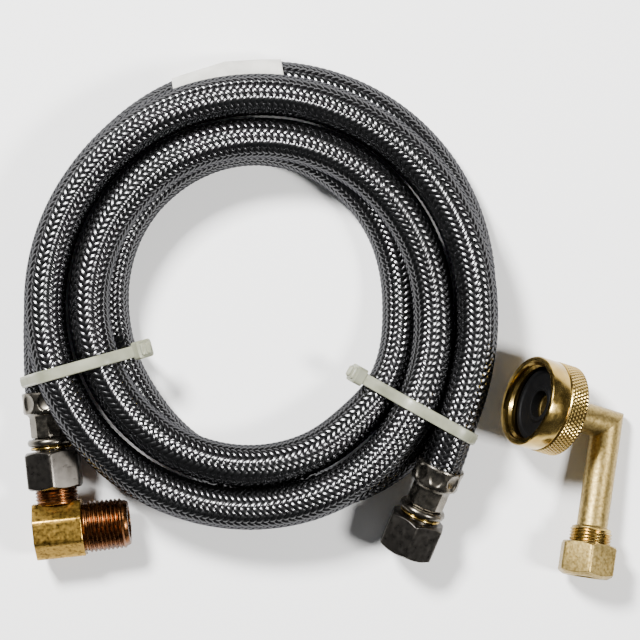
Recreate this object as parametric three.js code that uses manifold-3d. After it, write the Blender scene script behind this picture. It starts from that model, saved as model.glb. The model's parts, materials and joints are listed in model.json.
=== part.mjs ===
// Braided dishwasher supply line, coiled and tied, with a pipe-thread elbow on one end
// and a loose garden-hose adapter beside it. Millimetres, +Z up, lying on the plane z = 0.
import * as THREE from 'three';
import { mergeVertices } from 'three/addons/utils/BufferGeometryUtils.js';
import Module from 'manifold-3d';

const wasm = await Module();
wasm.setup();

// ---------- driving dimensions ----------
const COIL_CENTRE = new THREE.Vector2(-20.365, 6.692);
const COIL_LIFT = 0.44;

// The hose's coil: turn angle in degrees, radius and height of the centreline (before the lift
// that puts the lowest strap on the plane z = 0).
// Turn 1 and 2 are the upper layer, turn 3 and 4 the lower one.
const COIL_KNOTS = [
  [-42, 80.5, 18.2], [-33.3, 76.3, 21.2], [-20, 73.5, 22.0], [-8, 71.9, 22.2], [0, 71.1, 22.0],
  [45, 68.2, 21.7], [90, 67.2, 22.5], [115, 67.9, 22.4], [150, 69.4, 21.9],
  [180, 70.3, 22.6], [203, 70.6, 24.6], [225, 70.5, 23.0], [250, 69.6, 20.8],
  [270, 68.5, 20.4], [287, 67.3, 21.5], [307, 65.1, 21.6], [326.7, 61.6, 21.9],
  [342, 59.2, 19.8], [360, 56.9, 18.0], [405, 54.1, 21.1], [450, 52.9, 21.7], [495, 54.2, 21.7],
  [540, 55.8, 22.5], [562, 56.0, 23.0], [585, 56.0, 22.6], [608, 55.3, 21.9], [630, 54.2, 20.4],
  [650, 52.8, 18.2], [667, 51.0, 15.6], [686.7, 50.5, 12.3], [720, 47.2, 7.2],
  [765, 48.9, 7.2], [810, 51.6, 7.2], [855, 51.6, 7.2], [900, 50.6, 8.2], [921, 51.0, 8.8],
  [945, 52.8, 8.0], [990, 61.2, 7.2], [1012, 67.0, 7.2], [1030, 69.0, 7.7], [1047, 68.6, 8.7],
  [1062, 69.5, 8.1], [1080, 71.3, 7.5], [1125, 73.3, 7.4], [1165, 72.8, 7.9],
  [1195, 71.6, 7.9], [1215, 70.7, 7.4], [1260, 71.7, 7.8], [1271, 73.2, 9.2],
  [1277, 74.9, 10.2], [1283, 77.3, 10.3],
];
const COIL_STEPS = 88;

const HOSE = { outer: 7.0, wall: 0.9, sides: 10 };
const TUBE = { outer: 5.6, bore: 4.75, sides: 8 };
const BRAID_IN_FERRULE = 6.2;
const TUBE_IN_FERRULE = 13.4;

// Along a fitting's axis, from the ferrule's mouth outwards.
const FERRULE = {
  band: 7.0, end: 15.2, bandR: 8.1, sleeveR: 6.5, wall: 0.6, endWall: 1.0,
  edge: 0.4, shoulder: 0.6, clear: 0.3,
};
const STEM = { inner: -4.0, barbR: 3.95, bore: 3.1, lead: 1.2, leadR: 3.35 };
const BEAD = { start: 15.5, end: 19.2, r: 7.8, sideR: 7.4, rimR: 6.4, round: 0.6 };
const STEM_NECK_R = 5.4;
const STEM_FLANGE = { start: 23.6, end: 25.4, r: 6.9 };
const NUT = { start: 19.8, end: 32.4, flats: 17.46, rearWall: 3.0, rearHole: 5.8, bore: 7.5 };
const NUT_CHAMFER = { depth: 1.1, length: 0.7 };
const CONE_WASHER = { start: 25.7, end: 28.6, r: 6.5, rim: 1.1, tipR: 4.6, hole: 3.4 };

// The 3/8 compression by 3/8 pipe-thread elbow.
const ELBOW = {
  stubStart: 28.9, stubR: 7.1, stubChamfer: 0.8, centre: 46.1, flats: 18.4, left: 8.3, right: 7.9,
};
const ELBOW_SEAT = { mouthR: 5.9, coneR: 5.5, coneStart: 0.6, coneEnd: 2.2, bore: 4.2 };
const PIPE_THREAD = {
  end: 23.0, rootR: 8.85, tipR: 8.25, chamfer: 1.2, chamferDepth: 0.96, bore: 5.2, boreStart: -3.12,
};

// Loose adapter: garden-hose swivel nut on a mitred elbow with a 3/8 compression end.
const CORNER = new THREE.Vector3(95.025, -34.754, 5.42);
const ARM = {
  heading: 163.0, rise: 27.3, rearFace: 18.0, flangeR: 9.6, flangeStart: 21.4, flangeEnd: 24.5,
};
const LEG = {
  heading: 261.0, rise: 7.0, threadStart: 34.4, end: 44.8, threadR: 7.1, runOut: 0.6, chamfer: 0.8,
};
const LEG_SEAT = { depth: 1.6, r: 4.85, mouthR: 5.6 };
const ELBOW_TUBE = { r: 5.15, bore: 3.9 };
const HOSE_NUT = {
  length: 14.7, r: 15.1, knurlR: 15.25, split: 7.3, rearWall: 3.1, rearHole: 5.6, bore: 13.0,
  edge: 0.4, rearEdge: 0.6,
};
const HOSE_NUT_STEP = 0.3;
const HOSE_WASHER = { start: 24.8, thickness: 3.2, r: 12.4, hole: 4.5 };
const COMP_NUT = { start: 40.1, end: 51.2, flats: 17.46, bore: 7.5, endWall: 1.7, endHole: 5.0 };
const COMP_NUT_CHAMFER = { front: 0.9, frontLength: 0.5, end: 1.9, endLength: 1.6 };
const COMP_SLEEVE = { start: 45.2, end: 49.1, r: 6.4, hole: 4.9, taper: 1.2, taperDepth: 0.8 };

// Cable ties: plan point on the strap from the coil's centre, the strap's heading, and where
// the head stands (distance from the coil's centre along the strap, and height).
const TIE = { width: 3.8, thickness: 1.1, clearance: 0.8, head: [6.2, 4.6, 6.2], headGap: 0.2 };
const TIE_A = { at: [-56.1, -21.1], heading: 15.5, corner: [42.4, 22.9], headTurn: -40 };
const TIE_B = { at: [50.2, -34.7], heading: 151.0, corner: [41.6, 16.2], headTurn: -62 };
const TIE_REACH = 35;
const TIE_ARC_SIDES = 16;

// How far cutting tools run past a face, and how far a nut's turned envelope stands off it.
const CUT = 1.0;
const PAST = 0.1;
const HALF_SPACE = 120;
const MITRE_OVERLAP = 0.02;

const LABEL = { firstStep: 80, lastStep: 82, inner: 7.3, outer: 7.65, sides: 14 };

// ---------- helpers ----------
const rad = THREE.MathUtils.degToRad;

function material(color, roughness, metalness) {
  return new THREE.MeshStandardMaterial({ color, roughness, metalness });
}

function toSolid(geometry) {
  const bare = geometry.clone();
  bare.deleteAttribute('normal');
  bare.deleteAttribute('uv');
  const merged = mergeVertices(bare, 1e-4);
  return new wasm.Manifold(new wasm.Mesh({
    numProp: 3,
    vertProperties: new Float32Array(merged.attributes.position.array),
    triVerts: new Uint32Array(merged.index.array),
  }));
}

function toGeometry(solid) {
  const mesh = solid.getMesh();
  const geometry = new THREE.BufferGeometry();
  geometry.setAttribute('position', new THREE.BufferAttribute(new Float32Array(mesh.vertProperties), 3));
  geometry.setIndex(new THREE.BufferAttribute(new Uint32Array(mesh.triVerts), 1));
  geometry.computeVertexNormals();
  return geometry;
}

// A solid of revolution about +X. The profile is a list of [x, radius] that either
// starts and ends on the axis or is a ring's closed outline; it runs with rising x outside.
function lathe(profile, segments) {
  const onAxis = profile[0][1] === 0;
  const outline = onAxis ? profile : [...profile, profile[0]];
  const points = outline.map(([x, r]) => new THREE.Vector2(r, x));
  const geometry = new THREE.LatheGeometry(points, segments);
  geometry.rotateZ(-Math.PI / 2);
  return geometry;
}

function rod(from, to, radius, segments) {
  return lathe([[from, 0], [from, radius], [to, radius], [to, 0]], segments);
}

// A prism about +X with a regular section; turn = 0 puts a corner at local +Z.
function prism(sides, flats, from, to, turn) {
  const radius = flats / 2 / Math.cos(Math.PI / sides);
  const corners = [];
  for (let i = 0; i < sides; i += 1) {
    const angle = turn + (2 * Math.PI * i) / sides;
    corners.push(new THREE.Vector2(radius * Math.cos(angle), radius * Math.sin(angle)));
  }
  const shape = new THREE.Shape(corners);
  const geometry = new THREE.ExtrudeGeometry(shape, { depth: to - from, bevelEnabled: false });
  geometry.rotateY(Math.PI / 2);
  geometry.translate(from, 0, 0);
  return geometry;
}

function polygon(radius, sides) {
  const corners = [];
  for (let i = 0; i < sides; i += 1) {
    const angle = (2 * Math.PI * (i + 0.5)) / sides;
    corners.push(new THREE.Vector2(radius * Math.cos(angle), radius * Math.sin(angle)));
  }
  return corners;
}

function ringShape(outer, inner, sides) {
  const shape = new THREE.Shape(polygon(outer, sides));
  shape.holes.push(new THREE.Path(polygon(inner, sides)));
  return shape;
}

// ---------- the hose's route ----------
// Cubic through the knots, with each knot's slope the one between its neighbours.
function knotValue(angle, column) {
  const last = COIL_KNOTS.length - 1;
  let i = 0;
  while (i < last - 1 && angle > COIL_KNOTS[i + 1][0]) i += 1;
  const slope = (k) => {
    const a = COIL_KNOTS[Math.max(k - 1, 0)];
    const b = COIL_KNOTS[Math.min(k + 1, last)];
    return (b[column] - a[column]) / (b[0] - a[0]);
  };
  const [a, b] = [COIL_KNOTS[i], COIL_KNOTS[i + 1]];
  const span = b[0] - a[0];
  const t = (angle - a[0]) / span;
  const rise = (2 * t ** 3 - 3 * t ** 2 + 1) * a[column] + (3 * t ** 2 - 2 * t ** 3) * b[column];
  const lean = (t ** 3 - 2 * t ** 2 + t) * slope(i) + (t ** 3 - t ** 2) * slope(i + 1);
  return rise + span * lean;
}

function coilPoint(angle) {
  const radius = knotValue(angle, 1);
  return new THREE.Vector3(
    COIL_CENTRE.x + radius * Math.cos(rad(angle)),
    COIL_CENTRE.y + radius * Math.sin(rad(angle)),
    COIL_LIFT + knotValue(angle, 2),
  );
}

const COIL_START = COIL_KNOTS[0][0];
const COIL_END = COIL_KNOTS.at(-1)[0];
const END_STEP = 0.5;
const MOUTH_B = coilPoint(COIL_START);
const MOUTH_A = coilPoint(COIL_END);
const OUT_B = MOUTH_B.clone().sub(coilPoint(COIL_START + END_STEP)).normalize();
const OUT_A = MOUTH_A.clone().sub(coilPoint(COIL_END - END_STEP)).normalize();

// The coil between two turn angles, with a straight tail of the given length at each end.
class Route extends THREE.Curve {
  constructor(from, to, steps, tail) {
    super();
    this.points = [];
    for (let i = 0; i <= steps; i += 1) this.points.push(coilPoint(from + ((to - from) * i) / steps));
    if (tail > 0) {
      this.points.unshift(MOUTH_B.clone().addScaledVector(OUT_B, tail));
      this.points.push(MOUTH_A.clone().addScaledVector(OUT_A, tail));
    }
  }

  getPoint(t) {
    const place = t * (this.points.length - 1);
    const i = Math.min(Math.floor(place), this.points.length - 2);
    return this.points[i].clone().lerp(this.points[i + 1], place - i);
  }

  getPointAt(t) {
    return this.getPoint(t);
  }

  getTangentAt(t) {
    const place = Math.round(t * (this.points.length - 1));
    const ahead = this.points[Math.min(place + 1, this.points.length - 1)];
    return ahead.clone().sub(this.points[Math.max(place - 1, 0)]).normalize();
  }
}

function alongRoute(shape, route) {
  return new THREE.ExtrudeGeometry(shape, {
    steps: route.points.length - 1,
    extrudePath: route,
    bevelEnabled: false,
  });
}

// ---------- colours ----------
const BRAID = material(0x55585a, 0.35, 0.9);
const POLYMER = material(0x2b2c2e, 0.7, 0);
const NICKEL = material(0x8d8679, 0.35, 0.9);
const DARK_NICKEL = material(0x4b4a48, 0.35, 0.9);
const BRASS = material(0xb08b3e, 0.35, 0.9);
const CAST_BRASS = material(0xb7a468, 0.5, 0.8);
const RUBBER = material(0x0d0d0e, 0.8, 0);
const NYLON = material(0xc6c4ac, 0.4, 0);
const PAPER = material(0xdcdad0, 0.9, 0);

const kit = new THREE.Group();

function add(parent, name, geometry, finish) {
  const mesh = new THREE.Mesh(geometry, finish);
  mesh.name = name;
  parent.add(mesh);
  return mesh;
}

// A group whose +X is the given direction and whose +Z is as near to up as it can be.
function frameAlong(origin, direction) {
  const up = new THREE.Vector3(0, 0, 1);
  const side = up.cross(direction).normalize();
  const top = direction.clone().cross(side);
  const group = new THREE.Group();
  group.position.copy(origin);
  group.quaternion.setFromRotationMatrix(new THREE.Matrix4().makeBasis(direction, side, top));
  kit.add(group);
  return group;
}

// ---------- hose ----------
function addHose() {
  const sleeve = ringShape(HOSE.outer, HOSE.outer - HOSE.wall, HOSE.sides);
  const sleeveRoute = new Route(COIL_START, COIL_END, COIL_STEPS, BRAID_IN_FERRULE);
  add(kit, 'braid_sleeve', alongRoute(sleeve, sleeveRoute), BRAID);
  const tube = ringShape(TUBE.outer, TUBE.bore, TUBE.sides);
  const tubeRoute = new Route(COIL_START, COIL_END, COIL_STEPS, TUBE_IN_FERRULE);
  add(kit, 'inner_tube', alongRoute(tube, tubeRoute), POLYMER);
  const wrap = ringShape(LABEL.outer, LABEL.inner, LABEL.sides);
  const [from, to] = [LABEL.firstStep, LABEL.lastStep].map((step) => (
    COIL_START + ((COIL_END - COIL_START) * step) / COIL_STEPS
  ));
  add(kit, 'paper_label', alongRoute(wrap, new Route(from, to, LABEL.lastStep - LABEL.firstStep, 0)), PAPER);
}

// ---------- hose ends ----------
function ferruleGeometry() {
  const { band, end, bandR, sleeveR, wall, endWall, edge, shoulder, clear } = FERRULE;
  const bandBore = HOSE.outer + clear;
  const sleeveBore = sleeveR - wall;
  const endBore = STEM.barbR + clear;
  return lathe([
    [0, bandBore], [edge, bandR], [band - edge, bandR], [band + shoulder, sleeveR], [end, sleeveR],
    [end, endBore], [end - endWall, endBore], [end - endWall, sleeveBore],
    [band - clear, sleeveBore], [band - clear, bandBore],
  ], 20);
}

function stemGeometry() {
  const { inner, barbR, bore, lead, leadR } = STEM;
  const beadMid = (BEAD.start + BEAD.end) / 2;
  return lathe([
    [inner, bore], [inner, leadR], [inner + lead, barbR], [BEAD.start, barbR],
    [BEAD.start, BEAD.rimR], [BEAD.start + BEAD.round, BEAD.sideR], [beadMid, BEAD.r],
    [BEAD.end - BEAD.round, BEAD.sideR], [BEAD.end, BEAD.rimR], [BEAD.end, STEM_NECK_R],
    [STEM_FLANGE.start, STEM_NECK_R], [STEM_FLANGE.start, STEM_FLANGE.r],
    [STEM_FLANGE.end, STEM_FLANGE.r], [STEM_FLANGE.end, bore],
  ], 20);
}

// What a hexagon nut keeps when its two ends are turned to cones.
function turnedEnds(size, front, frontLength, rear, rearLength) {
  const corner = size.flats / Math.sqrt(3);
  return toSolid(lathe([
    [size.start - PAST, 0], [size.start - PAST, corner - front], [size.start + frontLength, corner + PAST],
    [size.end - rearLength, corner + PAST], [size.end + PAST, corner - rear], [size.end + PAST, 0],
  ], 36));
}

function nutGeometry() {
  const { start, end, flats, rearWall, rearHole, bore } = NUT;
  const { depth, length } = NUT_CHAMFER;
  const body = toSolid(prism(6, flats, start, end, 0));
  const hollow = toSolid(lathe([
    [start - CUT, 0], [start - CUT, rearHole], [start + rearWall, rearHole],
    [start + rearWall, bore], [end + CUT, bore], [end + CUT, 0],
  ], 24));
  return toGeometry(body.intersect(turnedEnds(NUT, depth, length, depth, length)).subtract(hollow));
}

function coneWasherGeometry() {
  const { start, end, r, rim, tipR, hole } = CONE_WASHER;
  return lathe([[start, hole], [start, r], [start + rim, r], [end, tipR], [end, hole]], 20);
}

function addHoseEnd(letter, mouth, direction) {
  const end = frameAlong(mouth, direction);
  add(end, `crimp_ferrule_${letter}`, ferruleGeometry(), NICKEL);
  add(end, `stem_${letter}`, stemGeometry(), NICKEL);
  add(end, `swivel_nut_${letter}`, nutGeometry(), DARK_NICKEL);
  add(end, `cone_washer_${letter}`, coneWasherGeometry(), RUBBER);
  return end;
}

// The same geometry, turned from the hose's axis to the outlet's, which leaves it sideways.
function towardsOutlet(geometry) {
  return toSolid(geometry.rotateZ(Math.PI / 2).translate(ELBOW.centre, 0, 0));
}

function addPipeElbow(end) {
  const { stubStart, stubR, stubChamfer, centre, flats, left, right } = ELBOW;
  const { mouthR, coneR, coneStart, coneEnd, bore } = ELBOW_SEAT;
  const { end: tip, rootR, tipR, chamfer, chamferDepth, bore: outletR, boreStart } = PIPE_THREAD;
  const stub = toSolid(lathe([
    [stubStart, 0], [stubStart, stubR - stubChamfer], [stubStart + stubChamfer, stubR],
    [centre, stubR], [centre, 0],
  ], 24));
  const octagon = towardsOutlet(prism(8, flats, -left, right, Math.PI / 8));
  const taper = towardsOutlet(lathe([
    [0, 0], [0, rootR], [tip - chamfer, tipR], [tip, tipR - chamferDepth], [tip, 0],
  ], 24));
  const outlet = towardsOutlet(rod(boreStart, tip + CUT, outletR, 20));
  const inlet = toSolid(lathe([
    [stubStart - CUT, 0], [stubStart - CUT, mouthR], [stubStart + coneStart, coneR],
    [stubStart + coneEnd, bore], [centre, bore], [centre, 0],
  ], 20));
  const body = stub.add(octagon).add(taper).subtract(outlet).subtract(inlet);
  add(end, 'pipe_elbow', toGeometry(body), BRASS);
}

// ---------- loose adapter ----------
function heading(degrees, rise) {
  return new THREE.Vector3(
    Math.cos(rad(degrees)) * Math.cos(rad(rise)),
    Math.sin(rad(degrees)) * Math.cos(rad(rise)),
    Math.sin(rad(rise)),
  );
}

function placed(geometry, frame) {
  frame.updateWorldMatrix(true, false);
  return geometry.clone().applyMatrix4(frame.matrixWorld);
}

// Half of a mitred tube: the rod from past the corner, cut off on the plane between the two axes.
function mitredHalf(frame, along, other, geometry) {
  const keep = new THREE.BoxGeometry(HALF_SPACE, HALF_SPACE, HALF_SPACE);
  keep.translate(HALF_SPACE / 2 - MITRE_OVERLAP, 0, 0);
  const normal = along.clone().sub(other).normalize();
  const turn = new THREE.Quaternion().setFromUnitVectors(new THREE.Vector3(1, 0, 0), normal);
  keep.applyQuaternion(turn);
  keep.translate(CORNER.x, CORNER.y, CORNER.z);
  return toSolid(placed(geometry, frame)).intersect(toSolid(keep));
}

function addElbowTube(armFrame, legFrame, arm, leg) {
  const past = ELBOW_TUBE.r + 2;
  const { flangeStart, flangeEnd, flangeR } = ARM;
  const { threadStart, threadR, runOut, chamfer, end } = LEG;
  const armRod = lathe([
    [-past, 0], [-past, ELBOW_TUBE.r], [flangeStart, ELBOW_TUBE.r], [flangeStart, flangeR],
    [flangeEnd, flangeR], [flangeEnd, 0],
  ], 20);
  const legRod = lathe([
    [-past, 0], [-past, ELBOW_TUBE.r], [threadStart, ELBOW_TUBE.r], [threadStart + runOut, threadR],
    [end - chamfer, threadR], [end, threadR - chamfer], [end, 0],
  ], 20);
  const outside = mitredHalf(armFrame, arm, leg, armRod).add(mitredHalf(legFrame, leg, arm, legRod));
  const armBore = mitredHalf(armFrame, arm, leg, rod(-past, flangeEnd + CUT, ELBOW_TUBE.bore, 16));
  const legBore = mitredHalf(legFrame, leg, arm, lathe([
    [-past, 0], [-past, ELBOW_TUBE.bore], [end - LEG_SEAT.depth, ELBOW_TUBE.bore],
    [end - LEG_SEAT.depth, LEG_SEAT.r], [end, LEG_SEAT.mouthR], [end + CUT, LEG_SEAT.mouthR], [end + CUT, 0],
  ], 16));
  add(kit, 'adapter_elbow', toGeometry(outside.subtract(armBore.add(legBore))), CAST_BRASS);
}

function addHoseNut(armFrame) {
  const rear = ARM.rearFace;
  const mouth = rear + HOSE_NUT.length;
  const split = rear + HOSE_NUT.split;
  const { r, knurlR, rearWall, rearHole, bore, edge, rearEdge } = HOSE_NUT;
  add(armFrame, 'hose_nut', lathe([
    [rear, rearHole], [rear, knurlR - rearEdge], [rear + rearEdge, knurlR], [split, knurlR],
    [split + HOSE_NUT_STEP, r - HOSE_NUT_STEP], [split + 2 * HOSE_NUT_STEP, r],
    [mouth - edge, r], [mouth, r - edge], [mouth, bore], [rear + rearWall, bore], [rear + rearWall, rearHole],
  ], 40), BRASS);
  const { start, thickness, r: washerR, hole } = HOSE_WASHER;
  add(armFrame, 'hose_washer', lathe([
    [start, hole], [start, washerR], [start + thickness, washerR], [start + thickness, hole],
  ], 28), RUBBER);
}

function addCompressionNut(legFrame) {
  const { start, end, flats, bore, endWall, endHole } = COMP_NUT;
  const { front, frontLength, end: rear, endLength } = COMP_NUT_CHAMFER;
  const hexagon = toSolid(prism(6, flats, start, end, 0));
  const hollow = toSolid(lathe([
    [start - CUT, 0], [start - CUT, bore], [end - endWall, bore], [end - endWall, endHole],
    [end + CUT, endHole], [end + CUT, 0],
  ], 24));
  const body = hexagon.intersect(turnedEnds(COMP_NUT, front, frontLength, rear, endLength)).subtract(hollow);
  add(legFrame, 'compression_nut', toGeometry(body), BRASS);
  const { taper, taperDepth, r, hole } = COMP_SLEEVE;
  add(legFrame, 'compression_sleeve', lathe([
    [COMP_SLEEVE.start, hole], [COMP_SLEEVE.start, r - taperDepth], [COMP_SLEEVE.start + taper, r],
    [COMP_SLEEVE.end - taper, r], [COMP_SLEEVE.end, r - taperDepth], [COMP_SLEEVE.end, hole],
  ], 20), BRASS);
}

function addAdapter() {
  const arm = heading(ARM.heading, ARM.rise);
  const leg = heading(LEG.heading, LEG.rise);
  const armFrame = frameAlong(CORNER, arm);
  const legFrame = frameAlong(CORNER, leg);
  addElbowTube(armFrame, legFrame, arm, leg);
  addHoseNut(armFrame);
  addCompressionNut(legFrame);
}

// ---------- cable ties ----------
// Where the hose passes through the upright plane of a tie, as [distance along it, height].
function crossings(at, direction) {
  const side = new THREE.Vector2(-direction.y, direction.x);
  const offset = (p) => (p.x - at.x) * side.x + (p.y - at.y) * side.y;
  const along = (p) => (p.x - at.x) * direction.x + (p.y - at.y) * direction.y;
  const { points } = new Route(COIL_START, COIL_END, COIL_STEPS, 0);
  const found = [];
  for (let i = 1; i < points.length; i += 1) {
    const [before, after] = [offset(points[i - 1]), offset(points[i])];
    const hit = points[i - 1].clone().lerp(points[i], before / (before - after));
    if (before * after <= 0 && Math.abs(along(hit)) < TIE_REACH) found.push([along(hit), hit.z]);
  }
  return found;
}

function convexHull(points) {
  const sorted = [...points].sort((a, b) => a[0] - b[0] || a[1] - b[1]);
  const turn = (o, a, b) => (a[0] - o[0]) * (b[1] - o[1]) - (a[1] - o[1]) * (b[0] - o[0]);
  const half = (list) => {
    const chain = [];
    for (const p of list) {
      while (chain.length > 1 && turn(chain.at(-2), chain.at(-1), p) <= 0) chain.pop();
      chain.push(p);
    }
    return chain.slice(0, -1);
  };
  return [...half(sorted), ...half(sorted.reverse())];
}

function hullAround(circles, extra) {
  const points = [];
  for (const [x, y, r] of circles) {
    for (let i = 0; i < TIE_ARC_SIDES; i += 1) {
      const angle = (2 * Math.PI * i) / TIE_ARC_SIDES;
      points.push([x + (r + extra) * Math.cos(angle), y + (r + extra) * Math.sin(angle)]);
    }
  }
  return convexHull(points).map(([x, y]) => new THREE.Vector2(x, y));
}

function addTie(name, tie) {
  const direction = new THREE.Vector2(Math.cos(rad(tie.heading)), Math.sin(rad(tie.heading)));
  const at = new THREE.Vector2(...tie.at).add(COIL_CENTRE);
  const toCentre = COIL_CENTRE.clone().sub(at);
  const reach = toCentre.dot(direction) - tie.corner[0];
  const circles = crossings(at, direction).map(([x, z]) => [x, z, HOSE.outer]);
  circles.push([reach, tie.corner[1], 0]);
  const shape = new THREE.Shape(hullAround(circles, TIE.clearance + TIE.thickness));
  shape.holes.push(new THREE.Path(hullAround(circles, TIE.clearance)));
  const band = new THREE.ExtrudeGeometry(shape, { depth: TIE.width, bevelEnabled: false });
  band.translate(0, 0, -TIE.width / 2);
  const [length, height, width] = TIE.head;
  const head = new THREE.BoxGeometry(length, height, width);
  head.rotateZ(rad(tie.headTurn));
  const lean = rad(tie.headTurn + 90);
  const stand = TIE.clearance + height / 2 + TIE.headGap;
  head.translate(reach + stand * Math.cos(lean), tie.corner[1] + stand * Math.sin(lean), 0);
  const mesh = add(kit, name, toGeometry(toSolid(band).add(toSolid(head))), NYLON);
  mesh.position.set(at.x, at.y, 0);
  mesh.quaternion.setFromRotationMatrix(new THREE.Matrix4().makeBasis(
    new THREE.Vector3(direction.x, direction.y, 0),
    new THREE.Vector3(0, 0, 1),
    new THREE.Vector3(direction.y, -direction.x, 0),
  ));
}

addHose();
addHoseEnd('b', MOUTH_B, OUT_B);
addPipeElbow(addHoseEnd('a', MOUTH_A, OUT_A));
addTie('cable_tie_a', TIE_A);
addTie('cable_tie_b', TIE_B);
addAdapter();

export default kit;
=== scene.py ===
"""The looks of a coiled, wire-braided supply line with its elbow, ties and loose hose adapter.

Metres, +Z up. Every fitting is made in a frame of its own: x along the fitting's axis, away
from the hose or the adapter's corner, and z as near to up as the axis allows.
"""

import json
import math

import bpy
import numpy as np
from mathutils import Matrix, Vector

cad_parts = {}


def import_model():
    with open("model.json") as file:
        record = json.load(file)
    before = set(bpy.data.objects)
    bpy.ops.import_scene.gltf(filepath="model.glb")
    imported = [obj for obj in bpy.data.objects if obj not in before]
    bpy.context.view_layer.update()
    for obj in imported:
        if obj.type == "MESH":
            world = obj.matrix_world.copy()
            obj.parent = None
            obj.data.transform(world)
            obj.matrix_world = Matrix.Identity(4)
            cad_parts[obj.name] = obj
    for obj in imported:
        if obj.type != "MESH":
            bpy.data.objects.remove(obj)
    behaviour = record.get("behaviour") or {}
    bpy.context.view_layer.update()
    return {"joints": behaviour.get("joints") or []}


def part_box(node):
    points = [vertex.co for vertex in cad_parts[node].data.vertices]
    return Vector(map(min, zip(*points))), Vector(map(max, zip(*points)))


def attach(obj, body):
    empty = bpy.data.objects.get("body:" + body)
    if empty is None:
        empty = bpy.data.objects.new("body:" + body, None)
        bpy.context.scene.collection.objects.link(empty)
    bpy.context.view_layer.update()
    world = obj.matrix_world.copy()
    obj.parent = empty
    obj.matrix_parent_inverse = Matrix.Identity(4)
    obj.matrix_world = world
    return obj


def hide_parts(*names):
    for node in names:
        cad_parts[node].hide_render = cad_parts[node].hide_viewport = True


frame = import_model()
JOINTS = {joint["name"]: joint for joint in frame["joints"]}
MM = 0.001

# ---------- driving dimensions ----------
# The coil as in the CAD: turn angle in degrees, radius and height of the hose's centreline.
COIL_CENTRE = np.array([-0.020365, 0.006692])
COIL_LIFT = 0.00044
COIL_KNOTS = np.array([
    (-42, 0.0805, 0.0182), (-33.3, 0.0763, 0.0212), (-20, 0.0735, 0.0220), (-8, 0.0719, 0.0222),
    (0, 0.0711, 0.0220), (45, 0.0682, 0.0217), (90, 0.0672, 0.0225), (115, 0.0679, 0.0224),
    (150, 0.0694, 0.0219), (180, 0.0703, 0.0226), (203, 0.0706, 0.0246), (225, 0.0705, 0.0230),
    (250, 0.0696, 0.0208), (270, 0.0685, 0.0204), (287, 0.0673, 0.0215), (307, 0.0651, 0.0216),
    (326.7, 0.0616, 0.0219), (342, 0.0592, 0.0198), (360, 0.0569, 0.0180), (405, 0.0541, 0.0211),
    (450, 0.0529, 0.0217), (495, 0.0542, 0.0217), (540, 0.0558, 0.0225), (562, 0.0560, 0.0230),
    (585, 0.0560, 0.0226), (608, 0.0553, 0.0219), (630, 0.0542, 0.0204), (650, 0.0528, 0.0182),
    (667, 0.0510, 0.0156), (686.7, 0.0505, 0.0123), (720, 0.0472, 0.0072), (765, 0.0489, 0.0072),
    (810, 0.0516, 0.0072), (855, 0.0516, 0.0072), (900, 0.0506, 0.0082), (921, 0.0510, 0.0088),
    (945, 0.0528, 0.0080), (990, 0.0612, 0.0072), (1012, 0.0670, 0.0072), (1030, 0.0690, 0.0077),
    (1047, 0.0686, 0.0087), (1062, 0.0695, 0.0081), (1080, 0.0713, 0.0075), (1125, 0.0733, 0.0074),
    (1165, 0.0728, 0.0079), (1195, 0.0716, 0.0079), (1215, 0.0707, 0.0074), (1260, 0.0717, 0.0078),
    (1271, 0.0732, 0.0092), (1277, 0.0749, 0.0102), (1283, 0.0773, 0.0103),
])
HOSE_DIAMETER = 14.0 * MM
HOSE_STEP = 0.5 * MM
HOSE_TAIL = 6.0 * MM
CORE_RADIUS = 6.3 * MM

BRAID_STRANDS = 16
BRAID_PITCH = 34.4 * MM
BRAID_RADIUS = 6.66 * MM
BRAID_WAVE = 0.22 * MM
BRAID_HALF_WIDTH = 0.71 * MM
BRAID_CROWN = 0.17 * MM
BRAID_PIECES = 6
BRAID_CROSSING = BRAID_PITCH / (2 * BRAID_STRANDS)
BRAID_SNAP = 1.6
STRAND_POINTS = 5
STRAND_UV_STEP = 0.36

FERRULE = {"band": 7.0, "end": 15.2, "band_r": 8.1, "sleeve_r": 6.5, "mouth_r": 7.1}
CRIMP = {"dimples": 8, "middle": 3.5, "length": 2.8, "width": 2.35, "depth": 0.75, "flats": 10}
BEAD = {"start": 15.4, "r": 7.8, "neck_r": 5.4, "roll": 1.15, "half": 1.3, "foot": 4.2}
STEM_RING = {"past": 1.95, "r": 6.5, "roll": 0.5, "foot": 5.3}
STEM_FLANGE = {"start": 23.6, "end": 25.4, "r": 6.9, "neck_r": 5.4, "bore_r": 3.1}
CONE_WASHER = {"start": 25.7, "shoulder": 26.8, "end": 28.6, "hole_r": 3.4, "r": 6.5, "tip_r": 4.6}
NUT = {"start": 19.8, "end": 32.4, "flats": 17.46, "rear_r": 5.8, "bore_r": 7.5, "rear_wall": 3.0}
ELBOW = {"stub": 28.9, "stub_r": 7.1, "centre": 46.1, "flats": 18.4, "left": 8.3, "right": 7.9}
PIPE = {"end": 23.0, "root_r": 8.0, "tip_r": 7.6, "crest": 0.62, "pitch": 1.411, "bore_r": 5.2}
COMPRESSION_PITCH = 1.058

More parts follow.
